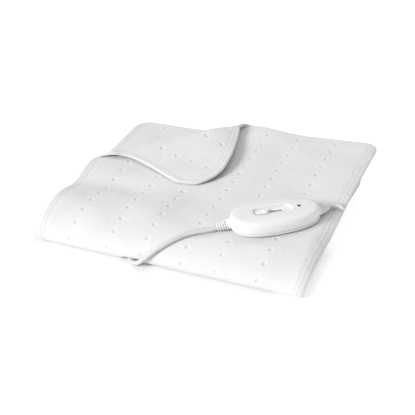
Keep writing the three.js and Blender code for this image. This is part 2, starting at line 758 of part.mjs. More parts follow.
const controller = new THREE.Group();
controller.add(piece('controller_bottom', bottomShell(), PLASTIC));
controller.add(piece('controller_top', topShell(), PLASTIC));
controller.add(piece('slider_knob', slider(), PLASTIC));
controller.add(piece('signal_lamp', lamp(), LENS));
controller.add(piece('mains_relief', relief('left'), RUBBER));
controller.add(piece('pad_relief', relief('right'), RUBBER));
const up = new THREE.Vector3(-SEAT.slopeX, -SEAT.slopeY, 1).normalize();
const heading = new THREE.Vector3(Math.cos(rad(SEAT.turn)), Math.sin(rad(SEAT.turn)), 0);
const side = up.clone().cross(heading).normalize();
const basis = new THREE.Matrix4().makeBasis(side.clone().cross(up), side, up);
controller.quaternion.setFromRotationMatrix(basis);
controller.position.set(SEAT.x, SEAT.y, SEAT.z);
pad.add(controller);
pad.position.set(-ORIGIN.x, -ORIGIN.y, 0);

const object = new THREE.Group();
object.add(pad);
export default object;
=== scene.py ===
# A heated mattress pad, folded into a small stack, with its controller and leads.
#
# Metres, in the CAD's frame. The pad's own millimetres (X along the front fold, Y from the front
# fold to the back) are used for the folded cloth and the leads, and the controller's own ones
# (+X along its body, away from the mains lead) for its shells. Both are turned into metres at the end.
import math

import bpy
import numpy as np
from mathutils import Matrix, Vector


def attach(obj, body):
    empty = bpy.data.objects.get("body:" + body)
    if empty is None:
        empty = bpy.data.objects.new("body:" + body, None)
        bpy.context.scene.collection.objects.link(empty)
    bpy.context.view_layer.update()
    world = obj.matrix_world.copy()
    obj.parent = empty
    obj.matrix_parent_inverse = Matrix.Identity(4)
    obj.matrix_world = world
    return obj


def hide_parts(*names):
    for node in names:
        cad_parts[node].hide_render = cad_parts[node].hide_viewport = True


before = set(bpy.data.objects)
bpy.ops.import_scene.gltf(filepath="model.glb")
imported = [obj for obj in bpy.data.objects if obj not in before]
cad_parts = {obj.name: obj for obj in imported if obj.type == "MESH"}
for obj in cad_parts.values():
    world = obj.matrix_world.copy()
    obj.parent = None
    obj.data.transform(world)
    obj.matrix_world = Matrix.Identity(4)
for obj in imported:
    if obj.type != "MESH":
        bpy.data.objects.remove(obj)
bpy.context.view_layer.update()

MM = 0.001
ORIGIN = np.array([184.3, 163.7, 0.0])


# Camera

AZIMUTH, ELEVATION, DISTANCE = math.radians(22.752), math.radians(29.345), 1.52575
AIM = Vector((-0.01397, 0.00808, 0.0))
towards = Vector((math.sin(AZIMUTH) * math.cos(ELEVATION), -math.cos(AZIMUTH) * math.cos(ELEVATION),
                  math.sin(ELEVATION)))
camera = bpy.data.objects.new("camera", bpy.data.cameras.new("camera"))
camera.data.lens = 95.81
camera.data.sensor_width = 36
camera.location = AIM + towards * DISTANCE
camera.rotation_mode = "QUATERNION"
camera.rotation_quaternion = (-towards).to_track_quat("-Z", "Y")
bpy.context.collection.objects.link(camera)
bpy.context.scene.camera = camera


# Small helpers

def clamp01(value):
    return np.clip(value, 0.0, 1.0)


def smooth(value):
    v = clamp01(value)
    return v * v * (3 - 2 * v)


def bell(value):
    return np.exp(-np.square(value))


def blend(a, b, share):
    return a + (b - a) * share


def from_pad(points):
    """The pad's own millimetres to metres in the frame."""
    return (np.asarray(points, float) - ORIGIN) * MM


SEAT = np.array([296.5, 92.5, 45.9])
SLOPE_X, SLOPE_Y, TURN = 0.012, 0.06, math.radians(35)
up_axis = np.array([-SLOPE_X, -SLOPE_Y, 1.0])
up_axis /= np.linalg.norm(up_axis)
heading = np.array([math.cos(TURN), math.sin(TURN), 0.0])
side_axis = np.cross(up_axis, heading)
side_axis /= np.linalg.norm(side_axis)
long_axis = np.cross(side_axis, up_axis)


def from_body(points):
    """The controller's own millimetres to metres in the frame."""
    p = np.asarray(points, float)
    return from_pad(SEAT + p[..., :1] * long_axis + p[..., 1:2] * side_axis + p[..., 2:3] * up_axis)


def make_piece(name, points, faces, finish, body="pad"):
    """A smooth mesh piece in metres that rides on a body."""
    mesh = bpy.data.meshes.new(name)
    mesh.from_pydata(np.asarray(points, float).tolist(), [], [list(map(int, f)) for f in faces])
    mesh.update()
    mesh.polygons.foreach_set("use_smooth", [True] * len(mesh.polygons))
    mesh.materials.append(finish)
    piece = bpy.data.objects.new(name, mesh)
    bpy.context.collection.objects.link(piece)
    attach(piece, body)
    return piece


def loft(rings, cyclic=False):
    """Points and faces of a skin through rings of as many points each, with its open ends capped."""
    n = len(rings[0])
    points = np.concatenate([np.asarray(r, float) for r in rings])
    faces = []
    spans = len(rings) if cyclic else len(rings) - 1
    for r in range(spans):
        a, b = r * n, ((r + 1) % len(rings)) * n
        for i in range(n):
            j = (i + 1) % n
            faces.append((a + i, a + j, b + j, b + i))
    if not cyclic:
        centres = []
        for ring, flip in ((0, True), (len(rings) - 1, False)):
            middle = len(points) + len(centres)
            centres.append(np.mean(rings[ring], axis=0))
            for i in range(n):
                a, b = ring * n + i, ring * n + (i + 1) % n
                faces.append((b, a, middle) if flip else (a, b, middle))
        points = np.concatenate([points, centres])
    return points, faces


# Finishes

class Tone:
    """A number that varies over a surface, with Python's operators as Math nodes."""

    def __init__(self, finish, socket):
        self.finish, self.socket = finish, socket

    def maths(self, operation, *others):
        return self.finish.node("ShaderNodeMath", {"operation": operation}, dict(enumerate((self, *others))))

    def __add__(self, other):
        return self.maths("ADD", other)

    def __sub__(self, other):
        return self.maths("SUBTRACT", other)

    def __rsub__(self, other):
        return self.maths("MULTIPLY_ADD", -1.0, other)

    def __mul__(self, other):
        return self.maths("MULTIPLY", other)

    __radd__, __rmul__ = __add__, __mul__

    def to_nearest(self, period):
        """The distance to the nearest multiple of period."""
        return self.maths("PINGPONG", period / 2)

    def between(self, low, high):
        """0 at low and 1 at high, smooth in between. Low may be the larger number."""
        settings = {"interpolation_type": "SMOOTHSTEP"}
        if low < high:
            values = {"Value": self, "From Min": low, "From Max": high, "To Min": 0.0, "To Max": 1.0}
        else:
            values = {"Value": self, "From Min": high, "From Max": low, "To Min": 1.0, "To Max": 0.0}
        return self.finish.node("ShaderNodeMapRange", settings, values)


class Finish:
    """A procedural material with one Principled shader."""

    def __init__(self, name, roughness, **constants):
        self.material = bpy.data.materials.new(name)
        self.material.use_nodes = True
        self.tree = self.material.node_tree
        self.shader = next(n for n in self.tree.nodes if n.type == "BSDF_PRINCIPLED")
        self.shader.inputs["Roughness"].default_value = roughness
        for socket, value in constants.items():
            self.shader.inputs[socket.replace("_", " ")].default_value = value

    def node(self, kind, settings=None, inputs=None, output=0):
        made = self.tree.nodes.new(kind)
        for key, value in (settings or {}).items():
            setattr(made, key, value)
        for key, value in (inputs or {}).items():
            socket = made.inputs[key]
            if isinstance(value, Tone):
                self.tree.links.new(value.socket, socket)
            else:
                socket.default_value = value
        return Tone(self, made.outputs[output])

    def places(self):
        """Where a point is on the piece, in metres in the frame."""
        return self.node("ShaderNodeTexCoord", output="Object")

    def noise(self, scale, detail=2.0, roughness=0.5, vector=None):
        inputs = {"Vector": vector or self.places(), "Scale": scale, "Detail": detail, "Roughness": roughness}
        return self.node("ShaderNodeTexNoise", {"noise_dimensions": "3D"}, inputs)

    def shades(self, amount, dark, light):
        """A colour from dark to light as amount goes from 0 to 1."""
        settings = {"data_type": "RGBA", "blend_type": "MIX", "clamp_factor": True}
        return self.node("ShaderNodeMix", settings, {0: amount, 6: (*dark, 1.0), 7: (*light, 1.0)}, output=2)

    def set(self, socket, value):
        self.tree.links.new(value.socket, self.shader.inputs[socket])

    def bump(self, height, distance, strength=1.0):
        values = {"Strength": strength, "Distance": distance, "Height": height}
        self.set("Normal", self.node("ShaderNodeBump", None, values))


def grey(value):
    return (value, value, value * 0.995)


def fleece_finish():
    """White brushed fleece: a fine nap, faint cloudiness, weld dots and two rows of hem stitches, with
    painted shade in the dots' pits and along the stitched rows and a painted highlight on the dots' lips.
    """
    f = Finish("brushed_fleece", 0.95, Sheen_Weight=0.22, Sheen_Roughness=0.55, Specular_IOR_Level=0.15)
    at = f.node("ShaderNodeAttribute", {"attribute_name": "cut_place"}, output="Vector")
    across, along, hem = (f.node("ShaderNodeSeparateXYZ", None, {"Vector": at}, output=i) for i in range(3))

    # Weld dots: two columns for each 102.3 mm of width, 22.44 mm apart along the cloth.
    column = (across - 0.0504).to_nearest(0.1023).maths("MINIMUM", (across - 0.1055).to_nearest(0.1023))
    row = (along - 0.0042).to_nearest(0.02244)
    radius = (column * column + row * row).maths("SQRT")
    plain = hem.between(0.0125, 0.0175)
    # pit darkens the tone as painted shade in each dot's hollow, and lip lightens it as a painted highlight
    # on the dot's rim; both also shape the bump.
    pit = radius.between(0.0038, 0.0005) * plain
    lip = (radius.between(0.0068, 0.0046) - radius.between(0.0046, 0.0028)) * plain

    # Stitches along the hem, 3 mm each, in two rows.
    dash = (across + along).to_nearest(0.0030).between(0.00115, 0.0009)
    inner_row = (hem - 0.0112).maths("ABSOLUTE").between(0.0009, 0.0003)
    outer_row = (hem - 0.0065).maths("ABSOLUTE").between(0.0009, 0.0003)
    # seam darkens the tone along both rows as painted shade in the stitched grooves.
    seam = inner_row.maths("MAXIMUM", outer_row)

    nap = f.noise(900, 3.0, 0.6)
    tufts = f.noise(210, 3.0, 0.6)
    clouds = f.noise(26, 2.0, 0.5)
    tone = 0.60 + nap * 0.16 + tufts * 0.20 + clouds * 0.22 - pit * 0.09 + lip * 0.08 - seam * 0.06
    tone = tone - seam * dash * 0.07
    f.set("Base Color", f.shades(tone, grey(0.38), grey(0.73)))
    height = nap * 0.00022 + tufts * 0.00050 - pit * 0.00085 + lip * 0.00012
    height = height - seam * 0.0002 + seam * dash * 0.0002
    f.bump(height, 1.0, 1.0)
    return f.material


def shell_finish():
    """Smooth light plastic with a faint orange peel and rubbed patches."""
    f = Finish("smooth_plastic", 0.34, Coat_Weight=0.10, Coat_Roughness=0.18, Specular_IOR_Level=0.45)
    peel = f.noise(900, 2.0, 0.5)
    patches = f.noise(45, 3.0, 0.6)
    f.set("Base Color", f.shades(patches, grey(0.74), grey(0.80)))
    f.set("Roughness", 0.28 + patches * 0.12)
    f.bump(peel, 0.00003)
    return f.material


def lead_finish(name="lead_jacket", light=0.62, roughness=0.42):
    """Soft light plastic of the leads, plug and strain reliefs, slightly dulled by handling."""
    f = Finish(name, roughness, Specular_IOR_Level=0.4)
    dull = f.noise(60, 3.0, 0.6)
    grain = f.noise(1300, 2.0, 0.5)
    f.set("Base Color", f.shades(dull, grey(light * 0.9), grey(light * 1.08)))
    f.set("Roughness", (roughness - 0.06) + dull * 0.16)
    f.bump(grain, 0.00004)
    return f.material


def lens_finish():
    f = Finish("dark_lens", 0.12, Coat_Weight=0.5, Coat_Roughness=0.05)
    depth = f.noise(300, 2.0, 0.5)
    f.set("Base Color", f.shades(depth, (0.012, 0.012, 0.014), (0.03, 0.03, 0.032)))
    return f.material


def pin_finish():
    f = Finish("nickel_pin", 0.24, Metallic=1.0)
    brushed = f.noise(700, 3.0, 0.6)
    f.set("Base Color", f.shades(brushed, grey(0.62), grey(0.74)))
    f.set("Roughness", 0.16 + brushed * 0.2)
    f.bump(brushed, 0.00002)
    return f.material


def shadow_finish():
    """The plate under the slider's slot, a shade darker than the shell."""
    f = Finish("slot_plate", 0.6)
    f.set("Base Color", f.shades(f.noise(200, 2.0, 0.5), grey(0.72), grey(0.80)))
    return f.material


FLEECE = fleece_finish()
SHELL = shell_finish()
JACKET = lead_finish()
RIBBED = lead_finish("relief_rubber", 0.80, 0.48)
TIE = lead_finish("tie_strap", 0.50, 0.40)
LENS = lens_finish()
PIN = pin_finish()
PLATE = shadow_finish()


# Leads

LEAD_WIDTH = 6.1
# The routes in the pad's own millimetres. The mains lead's and the plug's are the CAD's. The pad lead's
# leaves the CAD's near its end, to sink into the hem.
MAINS_ROUTE = [
    (231.9, 50.8, 46.8), (224.6, 45.8, 45.1), (211.8, 38.8, 43.4), (199.5, 29.8, 40.8), (188, 18.8, 36.6),
    (176.5, 8.2, 30.4), (165, -0.6, 21.8), (156.5, -3.6, 13.4), (149.2, -3.8, 7), (141.6, -1, 3.7),
    (134.9, 4.6, 3.2), (130.2, 12.2, 3.2), (128.2, 21.4, 3.2), (128, 60, 3.2), (128, 110, 3.2),
    (128, 160, 3.2), (128, 210, 3.2), (128, 260, 3.2), (128, 296, 3.2), (128, 308, 3.2),
    (129.6, 318.6, 3.2), (134.6, 327.4, 3.2), (142, 333.2, 3.2), (151, 335.5, 3.2),
]
# Both leads start inside their strain reliefs, in the controller's own millimetres.
MAINS_LEAD_START = (-74.0, 2.9, 4.7)
PAD_LEAD_START = (61.3, 4.5, 7.56)
PLUG_ROUTE = [
    (272, 338.6, 13.4), (276.3, 339.4, 12.2), (281.4, 341.4, 9.4), (287.3, 343, 7.4), (291.5, 343, 7),
]
PAD_ROUTE = [
    (350.3, 143.3, 55.6), (353.4, 147.4, 56.2), (358, 150.2, 56.2), (363.4, 150.9, 55), (367.4, 149.9, 53.2),
    (369, 149.1, 52),
]


def through(points, step=0.0022):
    """Even points on a smooth line through the given ones (a centripetal Catmull-Rom line)."""
    p = np.asarray(points, float)
    p = np.vstack([2 * p[0] - p[1], p, 2 * p[-1] - p[-2]])
    line = []
    for a, b, c, d in zip(p[:-3], p[1:-2], p[2:-1], p[3:]):
        t = np.concatenate([[0.0], np.cumsum(np.sqrt([np.linalg.norm(b - a), np.linalg.norm(c - b),
                                                       np.linalg.norm(d - c)]))])
        s = np.linspace(t[1], t[2], 12, endpoint=False)[:, None]
        ab = (t[1] - s) / (t[1] - t[0]) * a + (s - t[0]) / (t[1] - t[0]) * b
        bc = (t[2] - s) / (t[2] - t[1]) * b + (s - t[1]) / (t[2] - t[1]) * c
        cd = (t[3] - s) / (t[3] - t[2]) * c + (s - t[2]) / (t[3] - t[2]) * d
        abc = (t[2] - s) / (t[2] - t[0]) * ab + (s - t[0]) / (t[2] - t[0]) * bc
        bcd = (t[3] - s) / (t[3] - t[1]) * bc + (s - t[1]) / (t[3] - t[1]) * cd
        line.append((t[2] - s) / (t[2] - t[1]) * abc + (s - t[1]) / (t[2] - t[1]) * bcd)
    line = np.vstack([*line, p[-2]])
    far = np.concatenate([[0.0], np.cumsum(np.linalg.norm(np.diff(line, axis=0), axis=1))])
    even = np.linspace(0, far[-1], max(8, int(round(far[-1] / step))) + 1)
    return np.stack([np.interp(even, far, line[:, k]) for k in range(3)], axis=1)


HANK_LEFT, HANK_RIGHT = 177.45, 250.55
LOW, MIDDLE, HIGH = 3.2, 9.3, 14.58


def hank_points():
    """The tied hank: four loops wound round two centres, two deep, and a last run on top."""
    points = []

    def run(x0, x1, y0, y1, z0, z1, count):
        for t in np.linspace(0, 1, count + 1)[1:]:
            points.append((blend(x0, x1, t), blend(y0, y1, smooth(t)), blend(z0, z1, smooth(t))))

    def turn(x, y0, y1, side, height):
        middle, radius = (y0 + y1) / 2, abs(y1 - y0) / 2
        for angle in np.linspace(0, math.pi, 15)[1:]:
            y = middle - math.copysign(radius, y1 - y0) * math.cos(angle)
            points.append((x + side * radius * math.sin(angle), y, height(angle / math.pi)))

    def climb(s):
        return LOW + LEAD_WIDTH * smooth(s / 42)

    left, right = HANK_LEFT, HANK_RIGHT
    run(left - 8, left, 335.6, 335.6, LOW, LOW, 1)
    run(left, right, 335.6, 335.6, LOW, LOW, 6)
    turn(right, 335.6, 384.4, 1, lambda t: LOW)
    run(right, left, 384.4, 384.4, LOW, LOW, 6)
    turn(left, 384.4, 341.7, -1, lambda t: LOW)
    run(left, right, 341.7, 341.7, LOW, LOW, 6)
    turn(right, 341.7, 378.3, 1, lambda t: LOW)
    run(right, left + 22, 378.3, 378.3, LOW, LOW, 5)
    points.extend((left + 22 - s, 378.3, climb(s)) for s in (11, 22))
    turn(left, 378.3, 341.7, -1, lambda t: climb(22 + t * math.pi * 18.3))
    run(left, right, 341.7, 341.7, MIDDLE, MIDDLE, 6)
    turn(right, 341.7, 378.3, 1, lambda t: MIDDLE)
    run(right, right - 45, 378.3, 384.4, MIDDLE, MIDDLE, 5)
    run(right - 45, left, 384.4, 384.4, MIDDLE, MIDDLE, 3)
    turn(left, 384.4, 335.6, -1, lambda t: MIDDLE)
    run(left, right, 335.6, 335.6, MIDDLE, MIDDLE, 6)
    turn(right, 335.6, 384.4, 1, lambda t: MIDDLE + LEAD_WIDTH * smooth((t - 0.35) / 0.6))
    run(right, right - 36, 384.4, 381.35, MIDDLE + LEAD_WIDTH, MIDDLE + LEAD_WIDTH, 4)
    run(right - 36, left, 381.35, 381.35, MIDDLE + LEAD_WIDTH, HIGH, 3)
    turn(left, 381.35, 338.65, -1, lambda t: HIGH)
    run(left, right - 8, 338.65, 338.65, HIGH, HIGH, 5)
    points = np.array(points)
    points[:, 2] += 0.8 * bell((points[:, 0] - 214) / 26)  # the tie passes under it there
    return from_pad(points)


def lead_tube(name, route, finish, sides=20):
    """A twin lead: round with a shallow groove along its top and bottom. Both ends are closed."""
    ahead = np.gradient(route, axis=0)
    ahead /= np.linalg.norm(ahead, axis=1)[:, None]
    flat = np.cross(np.array([0.0, 0.0, 1.0]), ahead)
    flat /= np.linalg.norm(flat, axis=1)[:, None]
    above = np.cross(ahead, flat)
    angle = np.linspace(0, 2 * math.pi, sides, endpoint=False)
    groove = bell((np.abs(np.abs(angle - math.pi) - math.pi / 2)) / 0.30)
    radius = (LEAD_WIDTH / 2 - 0.75 * groove) * MM
    rings = []
    for i, point in enumerate(route):
        tip = 0.72 if i in (0, len(route) - 1) else 1.0
        reach = tip * radius
        sideways, upwards = (reach * np.cos(angle))[:, None], (reach * np.sin(angle))[:, None]
        rings.append(point + sideways * flat[i] + upwards * above[i])
    points, faces = loft(rings)
    return make_piece(name, points, faces, finish)


# The whole mains lead is one piece: from the controller, under the stack, through the hank to the plug.
mains_line = through(np.vstack([from_body([MAINS_LEAD_START]), from_pad(MAINS_ROUTE), hank_points(),
                                from_pad([(258, 338.6, 14.4), *PLUG_ROUTE])]))
mains_lead = lead_tube("mains_lead_visual", mains_line, JACKET)
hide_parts("mains_lead", "mains_lead_hank", "mains_lead_end")

pad_line = through(np.vstack([from_body([PAD_LEAD_START]), from_pad(PAD_ROUTE)]), 0.0016)
pad_lead = lead_tube("pad_lead_visual", pad_line, JACKET)
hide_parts("pad_lead")


# The flat two-pin plug, with a waisted grip and a moulded collar at its tail.
PLUG_X, PLUG_Y, PLUG_Z = 289.0, 343.0, 7.0
PLUG_ROUNDNESS, PLUG_SIDES = 0.6, 40


def plug_ring(x, half_width, half_height):
    """One section of the plug, between an oval and a rectangle."""
    angle = np.linspace(0, 2 * math.pi, PLUG_SIDES, endpoint=False)
    c, s = np.cos(angle), np.sin(angle)
    y = PLUG_Y + half_width * np.sign(c) * np.abs(c) ** PLUG_ROUNDNESS
    z = PLUG_Z + half_height * np.sign(s) * np.abs(s) ** PLUG_ROUNDNESS
    return np.stack([np.full(PLUG_SIDES, PLUG_X + x), y, z], axis=1)


plug_profile = [
    (0, 3.6, 3.6), (0.1, 4.2, 4.2), (0.8, 4.6, 4.6), (2.6, 4.6, 4.6), (3.2, 4.1, 4.1), (3.8, 4.6, 4.6),
    (6, 5.0, 4.7), (9, 6.2, 5.0), (12.5, 8.0, 5.6), (14.2, 9.0, 5.4), (15.6, 9.6, 5.9), (17.2, 10.6, 5.7),
    (18.8, 11.6, 6.3), (22, 12.6, 6.8), (25, 12.95, 6.9), (30.5, 13, 6.9), (31.4, 12.9, 6.8),
    (32.4, 12.3, 6.3), (33, 11.2, 5.4),
]
points, faces = loft([from_pad(plug_ring(*ring)) for ring in plug_profile])
plug = make_piece("plug_visual", points, faces, JACKET)
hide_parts("plug_body")


def turned(name, start, end, profile, finish, sides=32):
    """A turned piece from start to end, in metres. Profile is (share of the length, radius in mm)."""
    start, end = np.asarray(start, float), np.asarray(end, float)
    axis = (end - start) / np.linalg.norm(end - start)
    across = np.cross(axis, [0.0, 0.0, 1.0])
    across /= np.linalg.norm(across)
    other = np.cross(axis, across)
    angle = np.linspace(0, 2 * math.pi, sides, endpoint=False)
    rings = []
    for share, radius in profile:
        middle = start + (end - start) * share
        spokes = np.cos(angle)[:, None] * across + np.sin(angle)[:, None] * other
        rings.append(middle + MM * radius * spokes)
    points, faces = loft(rings)
    return make_piece(name, points, faces, finish)


for word, side in (("front", -1), ("back", 1)):
    y = PLUG_Y + side * 9.5
    shape = [(0, 2.0), (0.46, 2.0), (0.47, 1.85), (0.90, 1.85), (0.96, 1.5), (0.99, 0.9), (1, 0.35)]
    pin = turned("plug_pin_%s_visual" % word, *from_pad([[322.3, y, 7], [341.2, y, 7]]), shape, PIN)
    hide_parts("plug_pin_" + word)

# The tie: a flat strap once round the middle of the hank.
section = np.array([
    (332.2, 5), (332.0, 10), (333.6, 15.4), (337, 18.6), (360, 16.2), (383, 18.8), (386.8, 15.4),
    (388.0, 10), (387.8, 5), (386.0, 1.2), (383, 0.35), (360, 0.35), (337, 0.35), (334.0, 1.2),
])
rings = []
for i in range(96):
    share = i / 96 * len(section)
    k, t = int(share), share - int(share)
    p = [section[(k + d) % len(section)] for d in (-1, 0, 1, 2)]
    y, z = 0.5 * ((2 * p[1]) + (p[2] - p[0]) * t + (2 * p[0] - 5 * p[1] + 4 * p[2] - p[3]) * t ** 2
                  + (3 * p[1] - p[0] - 3 * p[2] + p[3]) * t ** 3)
    out = np.array([0.0, (y - 360) / 28, (z - 9.5) / 9])
    out /= np.linalg.norm(out)
    z = max(z, 0.35)
    ring = [(214 + dx, y + out[1] * dy, max(0.05, z + out[2] * dy))
            for dx, dy in ((-3, -0.3), (-2.8, 0.3), (2.8, 0.3), (3, -0.3))]
    rings.append(from_pad(ring))
points, faces = loft(rings, cyclic=True)
tie = make_piece("hank_tie", points, faces, TIE)


# Strain reliefs: tapering, with five ribs.
def relief(name, root, tip, node):
    root, tip = np.array(root, float), np.array(tip, float)
    length = np.linalg.norm(tip - root)
    held = 9.8
    profile = [(0, 5.4), (0.005, 6.6), (held / length, 6.6)]
    pitch = (length - held) / 5
    for i in range(5):
        radius = blend(7.3, 4.5, (i + 0.5) / 5)
        start = held + i * pitch
        shape = ((0.06, -2.0), (0.10, -0.3), (0.18, 0), (0.54, 0), (0.62, -0.3), (0.67, -2.1), (0.98, -2.1))
        profile += [((start + pitch * at) / length, radius + more) for at, more in shape]
    profile += [(1, 3.3)]
    piece = turned(name, *from_body([root, tip]), profile, RIBBED, 40)
    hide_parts(node)
    return piece


mains_relief = relief("mains_relief_visual", (-52, 3, 9), (-76, 2.9, 4.3), "mains_relief")
pad_relief = relief("pad_relief_visual", (51, -1, 9), (72.5, 10.5, 6), "pad_relief")


# Folded cloth

WIDTH, DEPTH, THICK, LAYERS, PITCH = 369.0, 326.0, 4.0, 8, 5.6
BASE = 2.0
TOP = BASE + (LAYERS - 1) * PITCH
HALF_WIDTH = 30.0  # the controller's
EDGES = {
    1: (0, 369), 2: (0, 351), 3: (6, 350), 4: (8, 352), 5: (6, 350), 6: (8, 351), 7: (6, 348), 8: (5, 347),
}
FRONT_FOLDS = {2: 62, 4: 34, 6: 22}
BACK_FOLDS = {3: 316, 5: 319, 7: 315}
HEM_STEPS = [0, 0.35, 0.9, 1.7, 2.8, 4.2, 5.6, 6.5, 7.4, 8.8, 10, 10.7, 11.3, 12.2, 13.6, 15.6]


def under_body(x, y):
    c, s = math.cos(TURN), math.sin(TURN)
    along = ((x - SEAT[0]) * c + (y - SEAT[1]) * s) / 58
    across = ((y - SEAT[1]) * c - (x - SEAT[0]) * s) / HALF_WIDTH
    return 1 - smooth((np.hypot(along, across) - 1.05) / 0.45)


def puff(x, y):
    """How much higher the stack stands at a place than it would if it lay flat."""
    s = 1 + 0.46 * smooth((x - 68) / 340) * smooth((y - 57) / 192)
    s = s + 0.12 * smooth((y - 192) / 147)
    s = s - 0.12 * bell((y - 106 - 0.1 * x) / 22.6) * (1 - smooth((x - 23) / 260))
    s = s + 0.07 * bell((y - 149) / 27) * bell(x / 79)
    s = s - 0.05 * bell((y - 170 - 0.62 * (x - 283)) / 22.6) * smooth((x - 226) / 68)
    s = s + 0.07 * bell((y - 42) / 32) * bell(x / 70)
    seat = SEAT[2] + SLOPE_X * (x - SEAT[0]) + SLOPE_Y * (y - SEAT[1])
    return blend(s, (seat - 0.6 - THICK) / (TOP - BASE), under_body(x, y))


def height_share(level):
    return clamp01((level - BASE) / (TOP - BASE))


def lift_share(level):
    return blend(1.0, 0.3, height_share(level))


def channel_lift(x, y, level):
    """The lift over the mains lead, which runs under the whole stack."""
    middle = 128 + 10 * (1 - smooth(y / 26))
    slope = 12 + 30 * height_share(level)
    return 7 * smooth((5 + slope - np.abs(x - middle)) / slope)


def ripple(x, y):
    """Soft unevenness of the loosely stacked layers, in mm."""
    waves = 0.55 * np.sin(x / 23 + 1.1 * np.sin(y / 41)) * np.sin(y / 31 + 0.8)
    waves = waves + 0.35 * np.sin((x + 0.7 * y) / 13.5 + 0.6) * np.sin((y - 0.4 * x) / 17 + 1.9)
    return waves * (1 - under_body(x, y))


def droop(x, y):
    depth = blend(9.0, 2.0, smooth((y - 70) / 120))
    return depth * clamp01((x - 350) / 22) ** 2


def arch(x, y, level):
    """The lowest layer stands on its corners and is a touch higher between them."""
    sides = clamp01(np.abs(x - 177) / 160) ** 2 * clamp01(np.abs(y - 158) / 140) ** 2
    return 0.4 * (1 - sides) * clamp01(1 - (level - BASE) / PITCH)


def settle(x, y, level, share):
    z = BASE + (level - BASE) * puff(x, y) + channel_lift(x, y, level) * share + arch(x, y, level)
    z = z + ripple(x, y) * height_share(level)
    return np.stack([x + 0 * z, y + 0 * z, z], axis=-1)


# The turned corner of the top layer.
turn_start, turn_end = np.array([0.0, 156.0]), np.array([184.0, DEPTH])
turn_length = np.linalg.norm(turn_end - turn_start)
turn_along = (turn_end - turn_start) / turn_length
turn_out = np.array([-turn_along[1], turn_along[0]])

# How the turned corner lies off a plain mirror image of itself: place on the flat cloth, then the offset
# there, in mm. All rows but the last two are the output of a separate program, from marks along the
# corner's hem in the photo. The last two were changed afterwards.
LIE = np.array([
    (0, 170, 20.9, 3.2, 1.0), (0, 187.6, 17.3, 10.8, -0.8), (0, 206.4, 14, 14.9, 0.5),
    (0, 224.7, 10.5, 13.9, 1.3), (0, 243, 6.5, 10.6, 1.6), (0, 264.5, 0.7, 4.1, 1.2),
    (0, 285.9, -5.2, -2.5, 0.5), (0, 307.7, -9.9, -6.4, -0.6), (0, 326, -13.1, -6.5, -0.8),
    (12.8, 326, -1.4, -13.8, -0.2), (26.5, 326, 8.6, -18.3, 1.8), (40.3, 326, 16.5, -21.1, 4.3),
    (56.3, 326, 21.3, -22.1, 7.1), (78.1, 326, 20.2, -22.1, 8.8), (102, 326, 16.3, -22.2, 8.3),
    (127.3, 326, 9.8, -22.6, 2.5), (152, 326, 2.7, -20.2, -1.7), (166, 326, -2.7, -15.4, 1.3),
])


def spread(place, offsets):
    """A smooth field through the offsets (a thin plate with a linear part)."""
    n = len(place)

    def kernel(a, b):
        r = np.linalg.norm(a[:, None, :] - b[None, :, :], axis=2) / 100
        return np.where(r > 1e-9, r * r * np.log(np.maximum(r, 1e-9)), 0.0)

    linear = np.hstack([np.ones((n, 1)), place / 100])
    system = np.zeros((n + 3, n + 3))
    system[:n, :n] = kernel(place, place) + 1e-3 * np.eye(n)
    system[:n, n:], system[n:, :n] = linear, linear.T
    weights = np.linalg.solve(system, np.vstack([offsets, np.zeros((3, offsets.shape[1]))]))

    def field(p):
        flat = p.reshape(-1, 2)
        value = kernel(flat, place) @ weights[:n]
        value = value + np.hstack([np.ones((len(flat), 1)), flat / 100]) @ weights[n:]
        return value.reshape(*p.shape[:-1], offsets.shape[1])

    return field


fold_marks = np.array([blend(turn_start, turn_end, t) for t in np.linspace(0, 0.93, 9)])
lie_places = np.vstack([LIE[:, :2], fold_marks])
lie_field = spread(lie_places, np.vstack([LIE[:, 2:], np.zeros((len(fold_marks), 3))]))


def rounded(x, y, edge, corner_left, corner_right, right):
    """Rounds the two back corners of a flat sheet whose back edge is at y = edge."""
    for corner, side in ((corner_left, -1), (corner_right, 1)):
        cx = corner if side < 0 else right - corner
        a = side * (x - cx) / corner
        b = (y - (edge - corner)) / corner
        inside = (a > 0) & (b > 0)
        a, b = np.maximum(a, 1e-9), np.maximum(b, 1e-9)
        reach = np.maximum(a, b)
        angle = np.where(a > b, math.pi / 4 * b / a, math.pi / 2 - math.pi / 4 * a / b)
        x = np.where(inside, cx + side * corner * reach * np.cos(angle), x)
        y = np.where(inside, edge - corner + corner * reach * np.sin(angle), y)
    return x, y


def top_layer(x, y):
    """A place of the top layer's flat sheet, put where it lies."""
    beyond = (x - turn_start[0]) * turn_out[0] + (y - turn_start[1]) * turn_out[1]
    along = (x - turn_start[0]) * turn_along[0] + (y - turn_start[1]) * turn_along[1]
    share = clamp01(along / turn_length)
    radius = blend(4.5, 6.0, share)
    past = beyond - math.pi * radius
    low = THICK + 0.8
    bend = np.clip(beyond / radius, 0, math.pi)
    out = np.where(past > 0, -past * 1.09, np.where(beyond > 0, radius * np.sin(bend), beyond))
    rise = np.where(past > 0, low + (2 * radius - low) * bell(past / 26),
                    np.where(beyond > 0, radius * (1 - np.cos(bend)), 0.0))
    extra = lie_field(np.stack([x, y], axis=-1)) * smooth(beyond / 16)[..., None]
    extra = np.where((beyond > 0)[..., None], extra, 0.0)
    px = turn_start[0] + turn_along[0] * along + turn_out[0] * out + extra[..., 0]
    py = turn_start[1] + turn_along[1] * along + turn_out[1] * out + extra[..., 1]
    lies = (px - turn_start[0]) * turn_out[0] + (py - turn_start[1]) * turn_out[1]
    raised = (4 + 5 * share) * np.where(lies < 0, bell(lies / 30), 1.0)
    point = settle(px, py, TOP, 0.3)
    over = np.maximum(rise + extra[..., 2] * 0.9, np.where(past > 0, low * 0.98, rise))
    point[..., 2] += raised + over - droop(x, y)
    return point


